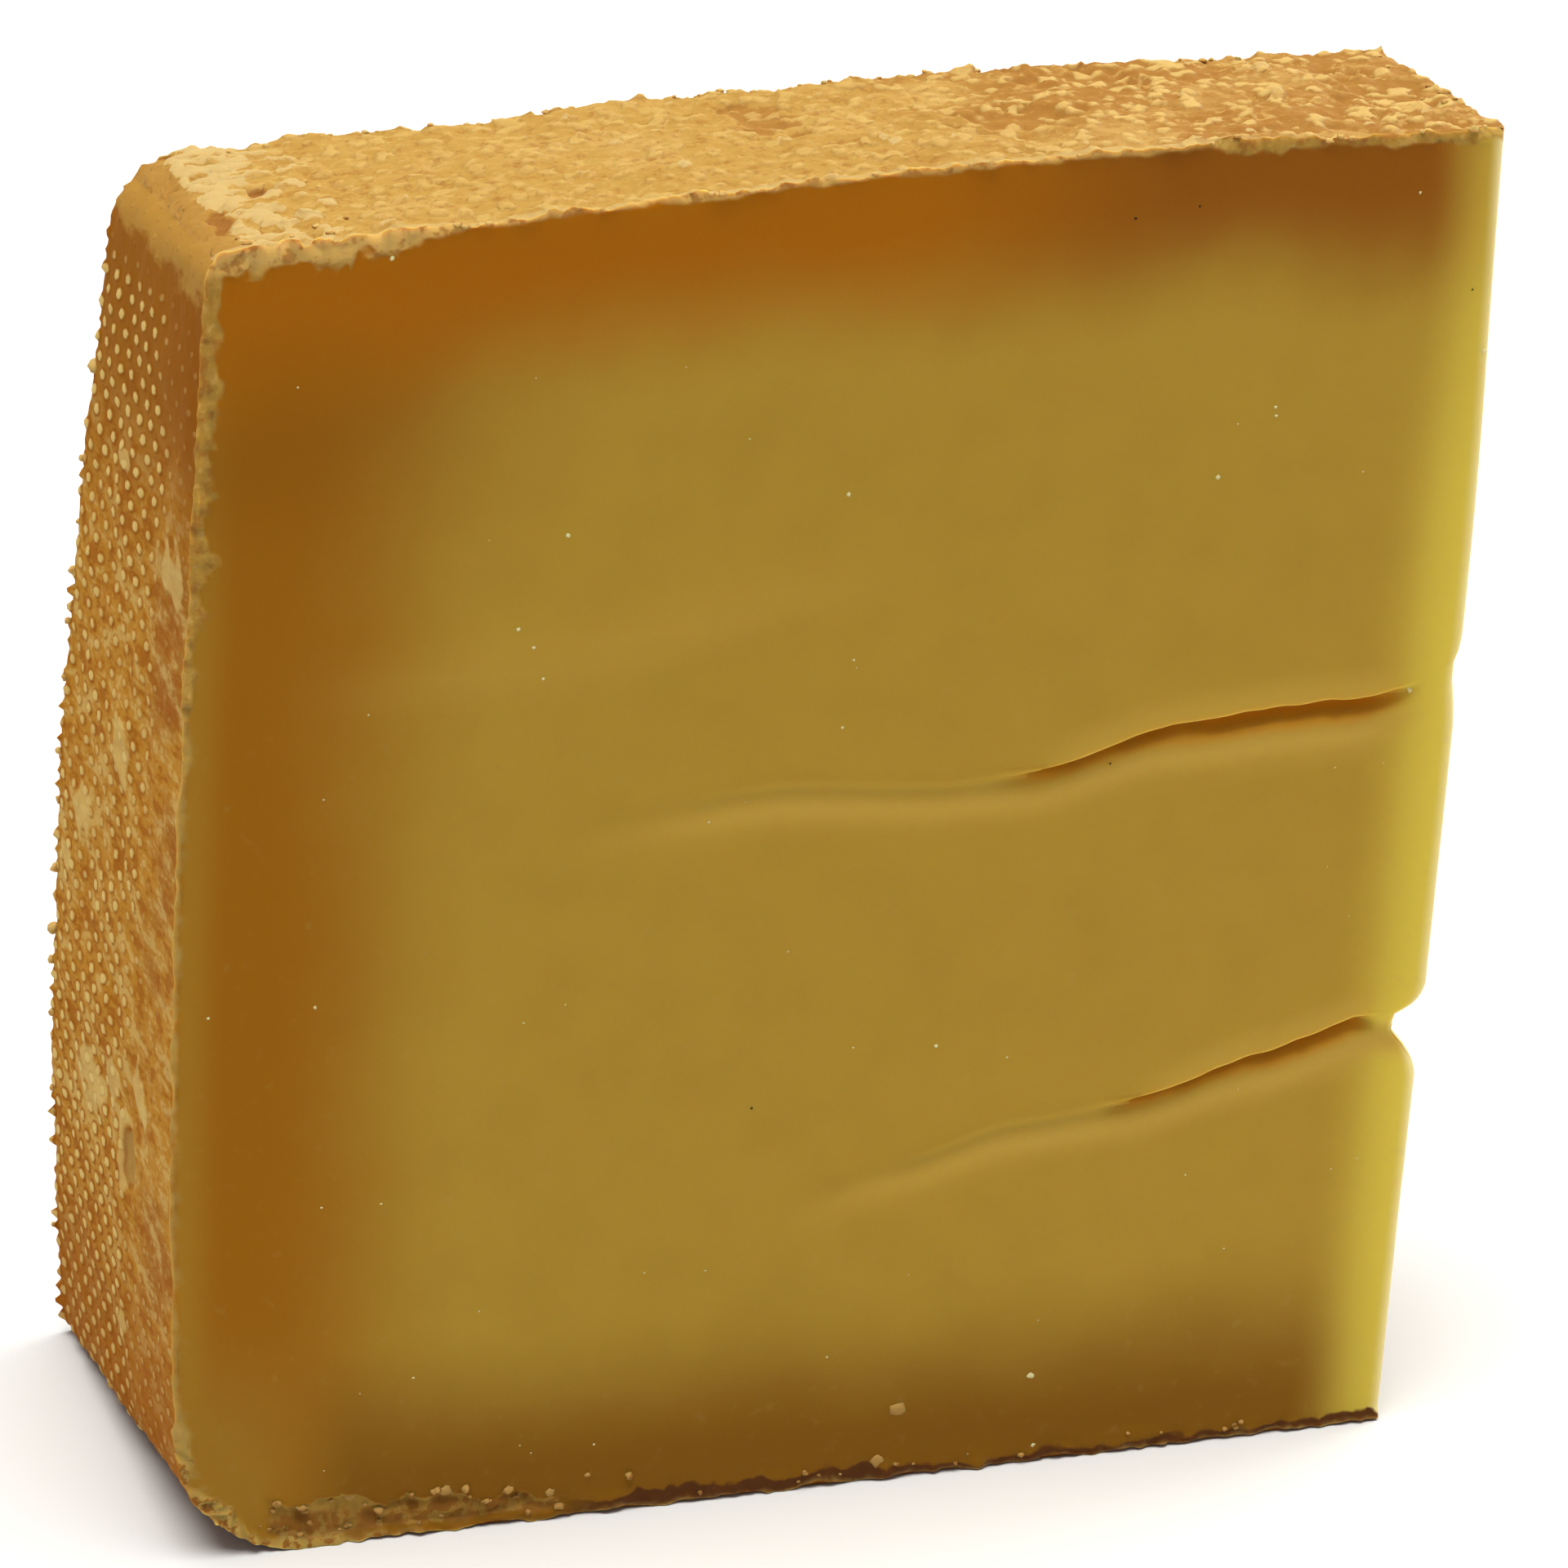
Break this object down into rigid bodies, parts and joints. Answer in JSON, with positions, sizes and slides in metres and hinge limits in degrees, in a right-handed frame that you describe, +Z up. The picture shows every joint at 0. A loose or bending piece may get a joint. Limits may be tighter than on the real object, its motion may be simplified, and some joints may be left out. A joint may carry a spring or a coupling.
{
  "type": "mountain cheese",
  "caption": "Upright cut piece of hard mountain cheese with a cloth-marked rim, rind on top and underneath, smooth cut faces and cracks from one side.",
  "frame": {"origin": "middle of the underside's box, on the surface that the lower rind rests on", "axes": "+Z up the piece, +X from the wheel's rim towards the right cut face, +Y from the front cut face to the back one"},
  "size_m": [0.1076, 0.0432, 0.1107],
  "materials": {
    "paste": "smooth, waxy, slightly translucent cut cheese, amber near the rind",
    "rind": "dry, rough washed rind, golden to orange brown, with cloth marks and pale flakes"
  },
  "bodies": {
    "root": {"mountain_cheese": "paste"}
  },
  "joints": []
}
